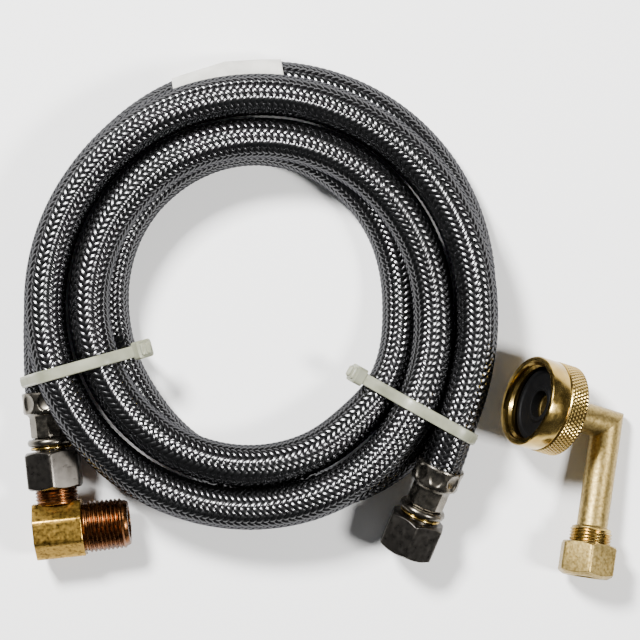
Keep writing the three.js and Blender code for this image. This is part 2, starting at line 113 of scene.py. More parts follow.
ARM = {"rear": 18.0, "flange": 21.4, "flange_end": 24.5, "flange_r": 9.6}
HOSE_NUT = {"length": 14.7, "r": 15.1, "knurl_r": 15.2, "split": 7.3, "wall": 3.1, "rear_r": 5.6,
            "bore_r": 13.0, "pitch": 2.209}
HOSE_WASHER = {"start": 24.8, "end": 28.0, "r": 12.4, "hole_r": 4.5, "dish": 0.5}
LEG = {"thread": 34.4, "end": 44.8, "thread_r": 7.1, "seat_r": 4.85, "seat_mouth_r": 5.6, "seat": 1.6}
COMP_NUT = {"start": 40.1, "end": 51.2, "flats": 17.46, "bore_r": 7.5, "end_wall": 1.7, "end_r": 5.0}
COMP_SLEEVE = {"start": 45.2, "end": 49.1, "taper": 1.2, "r": 6.4, "edge_r": 5.6, "hole_r": 4.9}
TUBE_R = 5.15
TUBE_BORE = 3.9
PAST_CORNER = 7.0
KNURL = {"ridges": 78, "lean": 0.45, "depth": 0.3}

TIE = {"width": 3.8, "thickness": 1.05, "gap": 0.12, "tooth": 0.28, "step": 0.5}
TIE_HEAD = {"length": 6.0, "height": 4.4, "width": 6.0}
TIES = {
    "a": {"at": (-56.1, -21.1), "heading": 15.5, "corner": (42.4, 22.9), "turn": -40},
    "b": {"at": (50.2, -34.7), "heading": 151.0, "corner": (41.6, 16.2), "turn": -62},
}
TIE_REACH = 35.0

LABEL = {"radius": 7.5, "half_length": 18.9, "outward": 0.25, "lap": 50.0, "lapped": 0.22, "ripple": 0.06,
         "thickness": 0.18, "start": 2.2}

FLOOR_HALF = 2.5
FLOOR_LINES = 6
FLOOR_HEIGHT = -0.1 * MM


# ---------- camera and light -----------------
def add_camera():
    height = 0.915
    data = bpy.data.cameras.new("camera")
    data.lens = 153.4
    data.clip_end = 20.0
    camera = bpy.data.objects.new("camera", data)
    camera.location = (-0.0006, 0.0001, height)
    bpy.context.scene.collection.objects.link(camera)
    bpy.context.scene.camera = camera


def add_light(name, place, size, power, colour):
    data = bpy.data.lights.new(name, "AREA")
    data.shape = "RECTANGLE"
    data.size, data.size_y = size
    data.energy = power
    data.color = colour
    light = bpy.data.objects.new(name, data)
    light.location = place
    aim = np.array(place) / np.linalg.norm(place)
    light.rotation_euler = (math.acos(aim[2]), 0.0, math.atan2(aim[1], aim[0]) + math.pi / 2)
    bpy.context.scene.collection.objects.link(light)


def add_lights():
    add_light("key", (-0.45, 0.58, 0.98), (0.24, 0.24), 52.0, (1.0, 0.995, 0.985))
    add_light("fill", (0.72, -0.2, 0.95), (0.24, 0.24), 22.0, (1.0, 0.99, 0.97))
    world = bpy.data.worlds.new("studio")
    world.use_nodes = True
    background = world.node_tree.nodes["Background"]
    background.inputs["Color"].default_value = (0.95, 0.97, 1.0, 1.0)
    background.inputs["Strength"].default_value = 0.1
    bpy.context.scene.world = world


# ---------- procedural materials ----------
class Surface:
    """A principled material whose parts are added one at a time."""

    def __init__(self, name, colour, metallic, roughness):
        self.material = bpy.data.materials.new(name)
        self.material.use_nodes = True
        self.tree = self.material.node_tree
        self.shader = self.tree.nodes["Principled BSDF"]
        self.shader.inputs["Base Color"].default_value = (*colour, 1.0)
        self.shader.inputs["Metallic"].default_value = metallic
        self.shader.inputs["Roughness"].default_value = roughness
        self.normal = None

    def node(self, kind, **inputs):
        made = self.tree.nodes.new(kind)
        for key, value in inputs.items():
            made.inputs[key.replace("_", " ").title()].default_value = value
        return made

    def link(self, source, target):
        self.tree.links.new(source, target)

    def noise(self, scale, detail):
        """Noise in the piece's own coordinates; scale is in grains per metre."""
        place = self.tree.nodes.new("ShaderNodeTexCoord")
        made = self.node("ShaderNodeTexNoise", scale=scale, detail=detail)
        self.link(place.outputs["Object"], made.inputs["Vector"])
        return made.outputs["Fac"]

    def ramp(self, source, low, high, start, end):
        ramp = self.tree.nodes.new("ShaderNodeValToRGB")
        ramp.color_ramp.elements[0].position = start
        ramp.color_ramp.elements[1].position = end
        ramp.color_ramp.elements[0].color = (*low, 1.0)
        ramp.color_ramp.elements[1].color = (*high, 1.0)
        self.link(source, ramp.inputs["Fac"])
        return ramp.outputs["Color"]

    def colours(self, low, high, scale, start, end, detail=3.0):
        """Mottling between two colours."""
        mottled = self.ramp(self.noise(scale, detail), low, high, start, end)
        self.link(mottled, self.shader.inputs["Base Color"])
        return self

    def sheen_range(self, low, high, scale):
        """Roughness that wanders between two values."""
        made = self.node("ShaderNodeMapRange", to_min=low, to_max=high, from_min=0.3, from_max=0.7)
        self.link(self.noise(scale, 4.0), made.inputs["Value"])
        self.link(made.outputs["Result"], self.shader.inputs["Roughness"])
        return self

    def bump(self, source, strength, depth):
        """Adds one more layer of relief, its depth in metres."""
        made = self.node("ShaderNodeBump", strength=strength, distance=depth)
        self.link(source, made.inputs["Height"])
        if self.normal is not None:
            self.link(self.normal, made.inputs["Normal"])
        self.normal = made.outputs["Normal"]
        self.link(self.normal, self.shader.inputs["Normal"])
        return self

    def grain(self, scale, strength, depth):
        return self.bump(self.noise(scale, 4.0), strength, depth)

    def stripes(self, axis, count, strength, depth):
        """Fine parallel ridges across one UV axis, such as the wires in a strand."""
        uv = self.tree.nodes.new("ShaderNodeUVMap")
        split = self.tree.nodes.new("ShaderNodeSeparateXYZ")
        self.link(uv.outputs["UV"], split.inputs["Vector"])
        times = self.tree.nodes.new("ShaderNodeMath")
        times.operation = "MULTIPLY"
        times.inputs[1].default_value = count * 2 * math.pi
        self.link(split.outputs[axis], times.inputs[0])
        wave = self.tree.nodes.new("ShaderNodeMath")
        wave.operation = "SINE"
        self.link(times.outputs[0], wave.inputs[0])
        return self.bump(wave.outputs[0], strength, depth)


def braid_wire():
    surface = Surface("braid_wire", (0.095, 0.095, 0.097), 1.0, 0.2)
    surface.shader.inputs["Specular Tint"].default_value = (0.3, 0.3, 0.31, 1.0)
    surface.sheen_range(0.19, 0.27, 900.0)
    return surface.stripes("X", 6, 0.1, 0.05 * MM).material


def core_polymer():
    surface = Surface("core_polymer", (0.008, 0.008, 0.009), 0.0, 0.8)
    return surface.grain(1500.0, 0.3, 0.05 * MM).material


def ferrule_steel():
    surface = Surface("ferrule_steel", (0.26, 0.24, 0.2), 1.0, 0.3)
    surface.colours((0.1, 0.09, 0.074), (0.165, 0.15, 0.126), 260.0, 0.36, 0.66)
    surface.sheen_range(0.2, 0.34, 500.0)
    return surface.grain(900.0, 0.2, 0.04 * MM).material


def nut_plate():
    surface = Surface("nut_plate", (0.11, 0.1, 0.09), 1.0, 0.32)
    surface.colours((0.058, 0.053, 0.047), (0.082, 0.075, 0.067), 420.0, 0.3, 0.7)
    surface.sheen_range(0.26, 0.38, 700.0)
    return surface.grain(1400.0, 0.2, 0.02 * MM).material


def elbow_brass():
    surface = Surface("elbow_brass", (0.45, 0.28, 0.06), 1.0, 0.32)
    surface.colours((0.12, 0.066, 0.012), (0.36, 0.22, 0.045), 900.0, 0.32, 0.54, 6.0)
    surface.sheen_range(0.26, 0.42, 800.0)
    return surface.grain(1600.0, 0.4, 0.05 * MM).material


def thread_brass():
    surface = Surface("thread_brass", (0.25, 0.1, 0.035), 1.0, 0.28)
    surface.colours((0.07, 0.028, 0.01), (0.18, 0.075, 0.026), 500.0, 0.3, 0.7)
    return surface.sheen_range(0.2, 0.36, 800.0).material


def polished_brass():
    surface = Surface("polished_brass", (0.45, 0.3, 0.08), 1.0, 0.2)
    surface.colours((0.33, 0.215, 0.055), (0.46, 0.32, 0.095), 220.0, 0.35, 0.65)
    surface.sheen_range(0.14, 0.26, 500.0)
    return surface.grain(900.0, 0.12, 0.02 * MM).material


def tumbled_brass():
    surface = Surface("tumbled_brass", (0.3, 0.22, 0.09), 1.0, 0.42)
    surface.colours((0.2, 0.138, 0.042), (0.34, 0.25, 0.092), 1100.0, 0.34, 0.62, 6.0)
    surface.sheen_range(0.34, 0.5, 700.0)
    return surface.grain(1300.0, 0.6, 0.07 * MM).material


def washer_rubber():
    surface = Surface("washer_rubber", (0.002, 0.002, 0.0022), 0.0, 0.6)
    surface.shader.inputs["Specular IOR Level"].default_value = 0.12
    surface.sheen_range(0.5, 0.7, 500.0)
    return surface.grain(1800.0, 0.4, 0.04 * MM).material


def tie_nylon():
    surface = Surface("tie_nylon", (0.42, 0.42, 0.31), 0.0, 0.38)
    surface.colours((0.16, 0.166, 0.115), (0.25, 0.255, 0.186), 130.0, 0.35, 0.65)
    surface.shader.inputs["Subsurface Weight"].default_value = 0.3
    surface.shader.inputs["Subsurface Radius"].default_value = (1.0, 0.9, 0.6)
    surface.shader.inputs["Subsurface Scale"].default_value = 1.5 * MM
    surface.sheen_range(0.3, 0.48, 400.0)
    return surface.grain(900.0, 0.2, 0.03 * MM).material


def label_paper():
    surface = Surface("label_paper", (0.62, 0.61, 0.56), 0.0, 0.85)
    surface.colours((0.5, 0.49, 0.45), (0.6, 0.59, 0.545), 160.0, 0.35, 0.65, 5.0)
    surface.grain(2500.0, 0.35, 0.03 * MM)
    return surface.grain(140.0, 0.5, 0.3 * MM).material


def floor_paint():
    surface = Surface("floor_paint", (0.9, 0.9, 0.9), 0.0, 0.9)
    surface.shader.inputs["Specular IOR Level"].default_value = 0.1
    return surface.grain(300.0, 0.05, 0.05 * MM).material


# ---------- meshes ----------
class Shape:
    """Collects grids of points, in metres, and becomes one Blender object."""

    def __init__(self):
        self.points = []
        self.quads = []
        self.slots = []
        self.count = 0

    def grid(self, points, close_rows=False, close_columns=True, flip=False, slot=0):
        rows, columns = points.shape[:2]
        row = np.arange(rows if close_rows else rows - 1)
        column = np.arange(columns if close_columns else columns - 1)
        row, column = (a.ravel() for a in np.meshgrid(row, column, indexing="ij"))
        next_row, next_column = (row + 1) % rows, (column + 1) % columns
        corners = [row * columns + column, row * columns + next_column,
                   next_row * columns + next_column, next_row * columns + column]
        quads = np.stack(corners[::-1] if flip else corners, axis=1) + self.count
        self.points.append(points.reshape(-1, 3))
        self.quads.append(quads)
        self.slots.append(np.full(len(quads), slot))
        self.count += rows * columns

    def build(self, name, body, materials, replaces=(), smooth=26.0):
        mesh = bpy.data.meshes.new(name)
        points = np.concatenate(self.points)
        quads = np.concatenate(self.quads)
        mesh.vertices.add(len(points))
        mesh.vertices.foreach_set("co", points.ravel())
        mesh.loops.add(quads.size)
        mesh.loops.foreach_set("vertex_index", quads.ravel())
        mesh.polygons.add(len(quads))
        mesh.polygons.foreach_set("loop_start", np.arange(0, quads.size, 4))
        mesh.polygons.foreach_set("material_index", np.concatenate(self.slots))
        mesh.update(calc_edges=True)
        mesh.polygons.foreach_set("use_smooth", np.ones(len(quads), bool))
        if smooth < 180.0:
            mesh.set_sharp_from_angle(angle=math.radians(smooth))
        for material in materials:
            mesh.materials.append(material)
        piece = bpy.data.objects.new(name, mesh)
        bpy.context.scene.collection.objects.link(piece)
        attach(piece, body)
        if replaces:
            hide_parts(*replaces)
        return piece


class Place:
    """A fitting's frame. Local points are in millimetres."""

    def __init__(self, origin, x_axis):
        x = np.array(x_axis, float)
        x /= np.linalg.norm(x)
        y = np.cross((0.0, 0.0, 1.0), x)
        y /= np.linalg.norm(y)
        self.origin = np.array(origin, float)
        self.axes = np.array([x, y, np.cross(x, y)])

    def world(self, local):
        return self.origin + MM * (np.asarray(local) @ self.axes)

    def side(self, along):
        """The frame at a distance along x, turned so that its x is this frame's y."""
        return Place(self.world((along, 0.0, 0.0)), self.axes[1])


def soften(profile, size, steps=4, closed=True):
    """Rounds the corners of an outline of [x, r] points."""
    points = np.array(profile, float)
    count = len(points)
    made = []
    for i, corner in enumerate(points):
        if not closed and i in (0, count - 1):
            made.append(corner)
            continue
        before, after = points[i - 1] - corner, points[(i + 1) % count] - corner
        reach = [min(size, 0.45 * np.linalg.norm(leg)) for leg in (before, after)]
        start = corner + before / max(np.linalg.norm(before), 1e-9) * reach[0]
        end = corner + after / max(np.linalg.norm(after), 1e-9) * reach[1]
        for t in np.linspace(0.0, 1.0, steps + 1):
            made.append((1 - t) ** 2 * start + 2 * t * (1 - t) * corner + t * t * end)
    return np.array(made)


def around(profile, angles, carve=None):
    """Local points of a profile turned about x. carve changes a point's radius."""
    x = np.repeat(profile[:, 0:1], len(angles), axis=1)
    r = np.repeat(profile[:, 1:2], len(angles), axis=1)
    angle = np.repeat(angles[None, :], len(profile), axis=0)
    if carve is not None:
        r = carve(x, r, angle)
    return np.stack([x, r * np.cos(angle), r * np.sin(angle)], axis=2)


def turn(count):
    return np.arange(count) * 2 * math.pi / count


def lathe(shape, place, profile, segments=96, carve=None, size=0.25, slot=0):
    """A closed profile turned about x, its corners rounded unless size is 0."""
    outline = soften(profile, size) if size > 0 else np.array(profile, float)
    shape.grid(place.world(around(outline, turn(segments), carve)), close_rows=True, slot=slot)


def prism(shape, place, columns, angles, slot=0):
    """A solid round x from one profile of [x, r] points at each angle."""
    profile = np.array(columns).transpose(1, 0, 2)
    x, r = profile[..., 0], profile[..., 1]
    local = np.stack([x, r * np.cos(angles), r * np.sin(angles)], axis=2)
    shape.grid(place.world(local), close_rows=True, slot=slot)


def straight(radius):
    """A thread's radius that is the same all along it."""
    return lambda x: np.full_like(x, radius)


HEX_SECTOR = np.radians([-29.9, -28.6, -25.0, -20.0, -14.0, -7.0, 0.0, 7.0, 14.0, 20.0, 25.0, 28.6])


def hex_radius(flats, offset):
    """Half the distance across a hexagon at an angle from a flat's middle, corners rubbed off."""
    return np.minimum(flats / 2 / np.cos(offset), flats / math.sqrt(3) - 0.12)


def hex_nut(shape, place, size, inner, front, back):
    """A hexagon nut with both ends turned to a cone; inner is its bore's profile from end to start."""
    cone = 0.6
    start, end = size["start"], size["end"]
    columns = []
    angles = []
    for sector in range(6):
        for offset in HEX_SECTOR:
            r = hex_radius(size["flats"], offset)
            low = min(r, size["flats"] / 2 - front)
            high = min(r, size["flats"] / 2 - back)
            outside = [(start, low), (start + (r - low) * cone + 0.02, r)]
            outside += [(end - (r - high) * cone - 0.02, r), (end, high)]
            columns.append(soften(outside + inner, 0.16))
            angles.append(sector * math.pi / 3 + offset)
    prism(shape, place, columns, np.array(angles))


def helix(shape, place, start, end, pitch, radius_at, crest, slot=0, steps=48):
    """A thread's ridge. A negative crest points inwards, as in a nut."""
    turns = (end - start) / pitch
    t = np.linspace(0.0, turns, int(turns * steps))
    fade = np.clip(np.minimum(t, turns - t) * 3.0, 0.02, 1.0)
    angle = 2 * math.pi * t
    rows = []
    for across, height in ((-0.5, -0.05), (-0.1, 1.0), (0.1, 1.0), (0.5, -0.05)):
        x = start + pitch * (t + across * 0.98)
        r = radius_at(x) + crest * height * fade
        rows.append(np.stack([x, r * np.cos(angle), r * np.sin(angle)], axis=1))
    shape.grid(place.world(np.stack(rows, axis=1)), close_columns=False, flip=crest > 0, slot=slot)


# ---------- the hose's route ----------
def knot_values(angle):
    """Radius and height at turn angles: cubic, each knot's slope the one between its neighbours."""
    knots = COIL_KNOTS
    slopes = np.empty((len(knots), 2))
    slopes[1:-1] = (knots[2:, 1:] - knots[:-2, 1:]) / (knots[2:, 0:1] - knots[:-2, 0:1])
    slopes[0] = (knots[1, 1:] - knots[0, 1:]) / (knots[1, 0] - knots[0, 0])
    slopes[-1] = (knots[-1, 1:] - knots[-2, 1:]) / (knots[-1, 0] - knots[-2, 0])
    i = np.clip(np.searchsorted(knots[:, 0], angle, side="left") - 1, 0, len(knots) - 2)
    span = (knots[i + 1, 0] - knots[i, 0])[:, None]
    t = (angle - knots[i, 0])[:, None] / span
    level = (2 * t ** 3 - 3 * t ** 2 + 1) * knots[i, 1:] + (3 * t ** 2 - 2 * t ** 3) * knots[i + 1, 1:]
    return level + span * ((t ** 3 - 2 * t ** 2 + t) * slopes[i] + (t ** 3 - t ** 2) * slopes[i + 1])


def coil_points(angle):
    radius, height = knot_values(angle).T
    turned = np.radians(angle)
    return np.stack([
        COIL_CENTRE[0] + radius * np.cos(turned),
        COIL_CENTRE[1] + radius * np.sin(turned),
        COIL_LIFT + height,
    ], axis=1)


class Hose:
    """The centreline by its own length, with a section frame that doesn't twist."""

    def __init__(self, spacing, tail):
        angle = np.arange(COIL_KNOTS[0, 0], COIL_KNOTS[-1, 0] + 1e-9, 0.25)
        points = coil_points(angle)
        ends = coil_points(np.array([angle[0], angle[0] + 0.5, angle[-1] - 0.5, angle[-1]]))
        self.mouth_b, self.mouth_a = ends[0], ends[3]
        self.out_b = (ends[0] - ends[1]) / np.linalg.norm(ends[0] - ends[1])
        self.out_a = (ends[3] - ends[2]) / np.linalg.norm(ends[3] - ends[2])
        points = np.vstack([ends[0] + tail * self.out_b, points, ends[3] + tail * self.out_a])
        along = np.concatenate([[0.0], np.cumsum(np.linalg.norm(np.diff(points, axis=0), axis=1))])
        self.length = along[-1]
        self.at = np.linspace(0.0, self.length, int(self.length / spacing) + 1)
        self.points = np.stack([np.interp(self.at, along, points[:, k]) for k in range(3)], axis=1)
        self.make_sections()

    def make_sections(self):
        heading = np.gradient(self.points, axis=0)
        heading /= np.linalg.norm(heading, axis=1)[:, None]
        normals = [np.cross(np.cross(heading[0], (0.0, 0.0, 1.0)), heading[0])]
        normals[0] /= np.linalg.norm(normals[0])
        for direction in heading[1:]:
            normal = normals[-1] - direction * normals[-1].dot(direction)
            normals.append(normal / np.linalg.norm(normal))
        self.normals = np.array(normals)
        self.sides = np.cross(heading, self.normals)

    def between(self, table, at):
        """A table's rows at distances along the hose."""
        return np.stack([np.interp(at, self.at, table[:, k]) for k in range(3)], axis=-1)

    def surface(self, at, angle, radius):
        """Points on the hose: distance along it, angle round it and distance from its middle."""
        outward = np.cos(angle)[..., None] * self.between(self.normals, at)
        outward = outward + np.sin(angle)[..., None] * self.between(self.sides, at)
        return self.between(self.points, at) + radius[..., None] * outward


# ---------- hose ----------
def add_core(hose):
    """The tube inside the braid, seen between its strands."""
    curve = bpy.data.curves.new("hose_core", "CURVE")
    curve.dimensions = "3D"
    curve.bevel_depth = CORE_RADIUS
    curve.bevel_resolution = 6
    spline = curve.splines.new("POLY")
    picked = hose.points[::6]
    spline.points.add(len(picked) - 1)
    spline.points.foreach_set("co", np.column_stack([picked, np.ones(len(picked))]).ravel())
    curve.materials.append(core_polymer())
    core = bpy.data.objects.new("hose_core", curve)
    bpy.context.scene.collection.objects.link(core)
    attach(core, "hose")
    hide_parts("inner_tube")
    return core


def strand_grid(hose, start, end, index, sense):
    """One strand of the braid: two over, two under."""
    at = np.linspace(start, end, int(round((end - start) / BRAID_CROSSING * 3)) + 1)
    tilt = math.atan(2 * math.pi * BRAID_RADIUS / BRAID_PITCH)
    across = np.linspace(-1.0, 1.0, STRAND_POINTS)
    grid_at = at[:, None] - sense * math.sin(tilt) * across * BRAID_HALF_WIDTH
    grid_at = np.clip(grid_at, 0.0, hose.length)
    middle = 2 * math.pi * index / BRAID_STRANDS + sense * 2 * math.pi * at / BRAID_PITCH
    angle = middle[:, None] + math.cos(tilt) * across * BRAID_HALF_WIDTH / BRAID_RADIUS
    column = 2 * index + sense * at / BRAID_CROSSING
    weave = np.cos(2 * math.pi * (column - 0.5) / 4)
    lift = sense * np.tanh(BRAID_SNAP * weave) / math.tanh(BRAID_SNAP)
    radius = BRAID_RADIUS + BRAID_WAVE * lift[:, None] - BRAID_CROWN * across ** 2
    return hose.surface(grid_at, angle, radius)


def add_braid(hose, material):
    """The woven sleeve, cut into lengths that meet on the same points."""
    whole = int(hose.length / BRAID_CROSSING)
    cuts = [round(whole * k / BRAID_PIECES) * BRAID_CROSSING for k in range(BRAID_PIECES)]
    cuts.append(hose.length)
    pieces = []
    for number in range(BRAID_PIECES):
        shape = Shape()
        rows = []
        for sense in (1, -1):
            for index in range(BRAID_STRANDS):
                strand = strand_grid(hose, cuts[number], cuts[number + 1], index, sense)
                shape.grid(strand, close_columns=False, flip=True)
                rows.append(len(strand))
        piece = shape.build(f"braid_{number + 1}", "hose", [material], ["braid_sleeve"], 180.0)
        add_strand_uv(piece.data, rows)
        pieces.append(piece)
    return pieces


def add_strand_uv(mesh, rows):
    """UV x runs across each strand and y along it."""
    across = np.linspace(0.0, 1.0, STRAND_POINTS)
    coords = []
    for count in rows:
        along = np.arange(count) * STRAND_UV_STEP
        coords.append(np.column_stack([np.tile(across, count), np.repeat(along, STRAND_POINTS)]))
    coords = np.concatenate(coords)
    index = np.empty(len(mesh.loops), np.int32)
    mesh.loops.foreach_get("vertex_index", index)
    mesh.uv_layers.new(name="strand")
    mesh.uv_layers["strand"].data.foreach_set("uv", coords[index].ravel())


# ---------- hose ends ----------
def crimp(x, r, angle):
    """Round dimples in the ferrule's band and flats along its sleeve."""
    outside = r > 5.95
    dimples, flats = CRIMP["dimples"], CRIMP["flats"]
    offset = (angle + math.pi / dimples) % (2 * math.pi / dimples) - math.pi / dimples
    bowl = ((x - CRIMP["middle"]) / CRIMP["length"]) ** 2
    bowl = bowl + (offset * FERRULE["band_r"] / CRIMP["width"]) ** 2
    band = (x < FERRULE["band"]) & outside
    r = np.where(band, r - CRIMP["depth"] * np.sqrt(np.clip(1.0 - bowl, 0.0, 1.0)), r)
    offset = (angle + math.pi / flats) % (2 * math.pi / flats) - math.pi / flats
    depth = np.clip((x - FERRULE["band"] - 0.8) / 1.0, 0.0, 1.0)
    faceted = r * (math.cos(math.pi / flats) / np.cos(offset))
    return np.where((x > FERRULE["band"]) & outside, r + (faceted - r) * depth, r)


def add_ferrule(letter, place, material):
    shape = Shape()
    band = [(x, FERRULE["band_r"]) for x in np.arange(0.6, FERRULE["band"] - 0.4, 0.3)]
    step = [(7.0, 7.9), (7.3, 7.2), (7.7, 6.75), (8.2, 6.55)]
    sleeve = [(x, FERRULE["sleeve_r"]) for x in np.arange(8.6, FERRULE["end"] - 0.4, 0.5)]
    mouth = FERRULE["mouth_r"]
    outside = [(0.0, mouth), (0.0, mouth + 0.5), (0.2, FERRULE["band_r"] - 0.15), *band, *step, *sleeve]
    closing = [(FERRULE["end"] - 0.1, 6.35), (FERRULE["end"], 6.1), (FERRULE["end"], 4.0), (1.0, 4.0)]
    lathe(shape, place, outside + closing, 160, crimp, size=0.0)
    shape.build(f"ferrule_{letter}", "hose", [material], [f"crimp_ferrule_{letter}"], 35.0)


def rolled(middle, half, centre_r, roll, reach):
    """A bead's round back, from reach degrees on one side of its top to the other."""
    angles = np.radians(range(-reach, reach + 1, 20))
    return [(middle + half * math.sin(a), centre_r + roll * math.cos(a)) for a in angles]


def add_stem(letter, place, steel, gold):
    """The barbed stem: rolled bead, thin ring, neck and the flange inside the nut."""
    shape = Shape()
    start, foot = BEAD["start"], BEAD["foot"]
    middle = start + 1.35
    bead = rolled(middle, BEAD["half"], BEAD["r"] - BEAD["roll"], BEAD["roll"], 100)
    neck = [(middle + 1.4, BEAD["neck_r"]), (start + 0.2, foot)]
    lathe(shape, place, [(start - 0.2, foot), *bead, *neck], size=0.0)
    ring, roll, foot = middle + STEM_RING["past"], STEM_RING["roll"], STEM_RING["foot"]
    back = rolled(ring, roll, STEM_RING["r"], roll, 110)
    lathe(shape, place, [(ring - roll, foot), *back, (ring + roll, foot)], size=0.0, slot=1)
    start, end = STEM_FLANGE["start"], STEM_FLANGE["end"]
    neck, bore, r = STEM_FLANGE["neck_r"], STEM_FLANGE["bore_r"], STEM_FLANGE["r"]
    lathe(shape, place, [(ring, bore), (ring, neck), (start, neck), (start, r), (end, r), (end, bore)])
    shape.build(f"stem_{letter}_detail", "hose", [steel, gold], [f"stem_{letter}"])


def add_cone_washer(letter, place, rubber):
    shape = Shape()
    start, shoulder, end = CONE_WASHER["start"], CONE_WASHER["shoulder"], CONE_WASHER["end"]
    hole, r, tip = CONE_WASHER["hole_r"], CONE_WASHER["r"], CONE_WASHER["tip_r"]
    lathe(shape, place, [(start, hole), (start, r), (shoulder, r), (end, tip), (end, hole)])
    shape.build(f"washer_{letter}_detail", "hose", [rubber], [f"cone_washer_{letter}"])


def add_swivel_nut(letter, place, plate):
    shape = Shape()
    start, end, bore, hole = NUT["start"], NUT["end"], NUT["bore_r"], NUT["rear_r"]
    rear = start + NUT["rear_wall"]
    inner = [(end, bore + 0.4), (end - 0.5, bore), (rear, bore), (rear, hole), (start, hole)]
    hex_nut(shape, place, NUT, inner, 0.35, 0.35)
    helix(shape, place, rear + 3.2, end - 0.7, COMPRESSION_PITCH, straight(bore), -0.3)
    shape.build(f"nut_{letter}_detail", f"nut_{letter}", [plate], [f"swivel_nut_{letter}"])


def add_elbow_block(shape, side):
    """The elbow's eight-sided block, its bore open at the pipe's end."""
    flats, half = 8, ELBOW["flats"] / 2
    sector = np.radians([-22.4, -20.5, -14.0, -7.0, 0.0, 7.0, 14.0, 20.5])
    angles = np.array([k * 2 * math.pi / flats + offset for k in range(flats) for offset in sector])
    offset = (angles + math.pi / flats) % (2 * math.pi / flats) - math.pi / flats
    radius = np.minimum(half / np.cos(offset), half / math.cos(math.pi / flats) - 0.1)
    left, right, bore = -ELBOW["left"], ELBOW["right"], PIPE["bore_r"]
    inside = [(right, bore), (-3.0, bore), (-3.0, 0.0)]
    columns = [soften([(left, 0.0), (left, r), (right, r), *inside], 0.3) for r in radius]
    prism(shape, side, columns, angles)


def add_pipe_thread(shape, side):
    """The tapered pipe thread and its tube."""
    right, tip, neck, end_r = ELBOW["right"], PIPE["end"], PIPE["root_r"], PIPE["tip_r"]
    bore = PIPE["bore_r"]

    def taper(x):
        return neck + (end_r - neck) * np.clip((x - right) / (tip - right), 0.0, 1.0)

    outside = [(right - 0.6, neck - 0.2), (right + 0.3, neck - 0.2), (right + 0.6, neck), (tip - 1.0, end_r)]
    lathe(shape, side, [(right - 0.6, bore), *outside, (tip, end_r - 0.5), (tip, bore)], slot=1)
    helix(shape, side, right + 1.2, tip - 1.3, PIPE["pitch"], taper, PIPE["crest"], slot=1)


def add_elbow_stub(shape, place):
    """The male compression thread that the swivel nut takes."""
    stub, crest, bore = ELBOW["stub"], ELBOW["stub_r"], 4.2
    base = ELBOW["centre"] - ELBOW["flats"] / 2 + 0.6
    root = crest - 0.5
    lathe(shape, place, [(stub, bore), (stub, crest - 1.2), (stub + 0.8, root), (base, root), (base, bore)],
          slot=1)
    helix(shape, place, stub + 0.9, base - 0.8, COMPRESSION_PITCH, straight(root), 0.45, slot=1)


def add_pipe_elbow(place, brass, copper):
    shape = Shape()
    side = place.side(ELBOW["centre"])
    add_elbow_block(shape, side)
    add_pipe_thread(shape, side)
    add_elbow_stub(shape, place)
    shape.build("elbow_detail", "elbow", [brass, copper], ["pipe_elbow"])


# ---------- loose adapter ----------
def mitre_start(place, other, radius, angles):
    """Where a tube along the place's x meets the plane that halves the corner."""
    normal = place.axes[0] - other.axes[0]
    sideways = np.cos(angles) * place.axes[1].dot(normal) + np.sin(angles) * place.axes[2].dot(normal)
    return -radius * sideways / place.axes[0].dot(normal)


def mitred_tube(shape, place, other, profile, segments=96):
    """A turned tube cut on the corner's mitre. The profile starts past the corner."""
    angles = turn(segments)
    outline = soften(profile, 0.3, closed=False)
    local = around(outline, angles)
    for row in (0, len(outline) - 1):
        local[row, :, 0] = mitre_start(place, other, outline[row, 1], angles)
    shape.grid(place.world(local))


def add_adapter(arm, leg, tumbled, polished):
    shape = Shape()
    corner_outside = [(0.0, TUBE_R), (PAST_CORNER, TUBE_R)]
    corner_bore = [(PAST_CORNER, TUBE_BORE), (0.0, TUBE_BORE)]
    flange, flange_end, flange_r = ARM["flange"], ARM["flange_end"], ARM["flange_r"]
    rim = [(flange, TUBE_R), (flange, flange_r), (flange_end, flange_r), (flange_end, TUBE_BORE)]
    mitred_tube(shape, arm, leg, corner_outside + rim + corner_bore)
    thread, end, root = LEG["thread"], LEG["end"], LEG["thread_r"] - 0.55
    bottom = end - LEG["seat"]
    threaded = [(thread, TUBE_R), (thread + 0.5, root), (end - 0.5, root), (end, root - 0.5)]
    seat = [(end, LEG["seat_mouth_r"]), (bottom, LEG["seat_r"]), (bottom, TUBE_BORE)]
    mitred_tube(shape, leg, arm, corner_outside + threaded + seat + corner_bore)
    helix(shape, leg, thread + 1.0, end - 0.6, COMPRESSION_PITCH, straight(root), 0.5, slot=1)
    shape.build("adapter_detail", "adapter", [tumbled, polished], ["adapter_elbow"])


def knurl(x, r, angle):
    """A diamond knurl on the nut's rear band."""
    ridges, slant = KNURL["ridges"], KNURL["lean"]
    low, high = ARM["rear"] + 0.9, ARM["rear"] + HOSE_NUT["split"] - 0.3
    on_band = (x > low) & (x < high) & (r > HOSE_NUT["r"] - 0.2)
    lean = (x - low) * slant
    left = np.abs(((angle * ridges / (2 * math.pi) + lean) % 1.0) * 2 - 1)
    right = np.abs(((angle * ridges / (2 * math.pi) - lean) % 1.0) * 2 - 1)
    return np.where(on_band, r - KNURL["depth"] * np.maximum(left, right) + 0.08, r)


